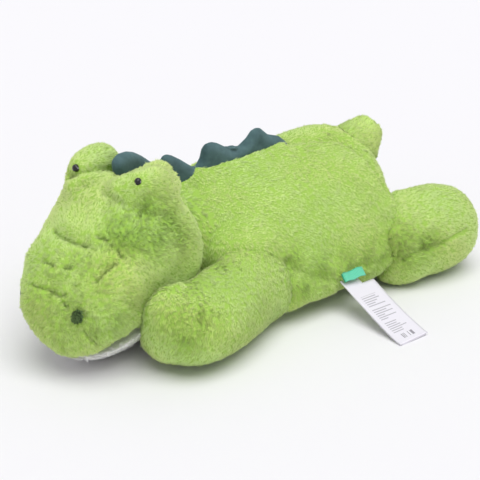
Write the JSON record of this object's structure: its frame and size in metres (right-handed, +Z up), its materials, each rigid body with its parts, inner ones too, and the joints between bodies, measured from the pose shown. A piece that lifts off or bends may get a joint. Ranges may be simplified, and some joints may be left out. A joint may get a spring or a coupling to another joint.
{
  "type": "plush crocodile",
  "caption": "Stuffed toy crocodile lying on its belly, with a turning head, velour spikes along its back, a stub tail, four padded limbs and a care label.",
  "frame": {"origin": "on the floor, under the middle of the belly, on the flat that the body rests on", "axes": "+Z up, the toy faces -Y with its tail towards +Y, and its own left side is +X"},
  "size_m": [0.4887, 0.6952, 0.2625],
  "materials": {
    "fur_green": "short soft pile",
    "velour_teal": "velour",
    "plush_white": "short soft pile",
    "bead_black": "gloss",
    "washer_clear": "natural",
    "felt_dark": "felt",
    "ribbon_teal": "woven ribbon",
    "satin_white": "satin"
  },
  "bodies": {
    "torso": {"torso": "fur_green", "spike_2": "velour_teal", "spike_3": "velour_teal", "spike_4": "velour_teal", "spike_5": "velour_teal", "woven_tab": "ribbon_teal"},
    "head": {"head": "fur_green", "chin_panel": "plush_white", "eye_mound_left": "fur_green", "eye_mound_right": "fur_green", "eye_bead_left": "bead_black", "eye_bead_right": "bead_black", "eye_washer_left": "washer_clear", "eye_washer_right": "washer_clear", "nostril_left": "felt_dark", "nostril_right": "felt_dark", "spike_1": "velour_teal"},
    "tail": {"tail": "fur_green"},
    "front_leg_left": {"front_leg_left": "fur_green"},
    "front_leg_right": {"front_leg_right": "fur_green"},
    "rear_leg_left": {"rear_leg_left": "fur_green"},
    "rear_leg_right": {"rear_leg_right": "fur_green"},
    "care_label": {"care_label_front": "satin_white", "care_label_back": "satin_white"}
  },
  "joints": [
    {"name": "head_turn", "type": "hinge", "parent": "torso", "child": "head", "pos_m": [0, -0.17, 0], "axis": [0, 0, 1], "range_deg": [-46, 0]},
    {"name": "tail_wag", "type": "hinge", "parent": "torso", "child": "tail", "pos_m": [0, 0.15039, 0.184], "axis": [0, 0, 1], "range_deg": [-18, 18]},
    {"name": "front_leg_left_swing", "type": "hinge", "parent": "torso", "child": "front_leg_left", "pos_m": [0.138, -0.046, 0.06], "axis": [0, 0, 1], "range_deg": [0, 35]},
    {"name": "front_leg_right_swing", "type": "hinge", "parent": "torso", "child": "front_leg_right", "pos_m": [-0.138, -0.046, 0.06], "axis": [0, 0, -1], "range_deg": [0, 35]},
    {"name": "rear_leg_left_lift", "type": "hinge", "parent": "torso", "child": "rear_leg_left", "pos_m": [0.086, 0.146, 0.138], "axis": [1, 0, 0], "range_deg": [0, 40]},
    {"name": "rear_leg_right_lift", "type": "hinge", "parent": "torso", "child": "rear_leg_right", "pos_m": [-0.086, 0.146, 0.138], "axis": [0.766, 0.6428, 0], "range_deg": [0, 40]},
    {"name": "care_label_lift", "type": "hinge", "parent": "torso", "child": "care_label", "pos_m": [0.13292, 0.062, 0.038], "axis": [0, -1, 0], "range_deg": [0, 40]}
  ]
}
